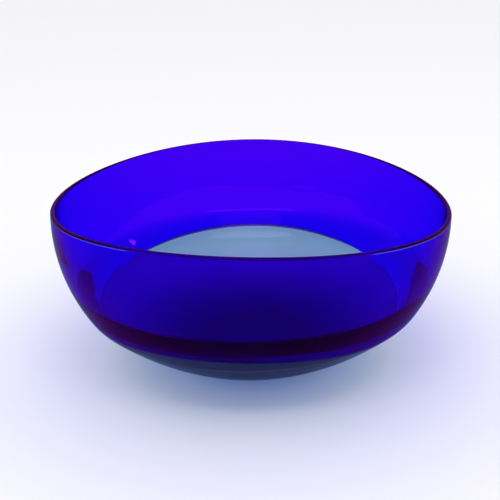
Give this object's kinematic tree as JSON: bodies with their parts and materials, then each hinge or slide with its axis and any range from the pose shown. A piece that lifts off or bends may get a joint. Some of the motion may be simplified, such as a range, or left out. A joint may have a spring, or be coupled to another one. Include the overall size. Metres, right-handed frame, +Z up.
{
  "type": "glass bowl",
  "caption": "Hand-blown glass bowl with a cobalt-blue wall joined hot to a thicker pale steel-blue base, a softly sagging fire-polished lip and a flat ground foot.",
  "frame": {"origin": "middle of the flat foot, on the table", "axes": "+Z up through the mouth; the two sides of the lip that sag lowest lie along X, the lower one at +X"},
  "size_m": [0.2508, 0.2508, 0.1152],
  "materials": {
    "cobalt_glass": "polished",
    "pale_glass": "polished"
  },
  "bodies": {
    "root": {"cobalt_wall": "cobalt_glass", "pale_base": "pale_glass"}
  },
  "joints": []
}
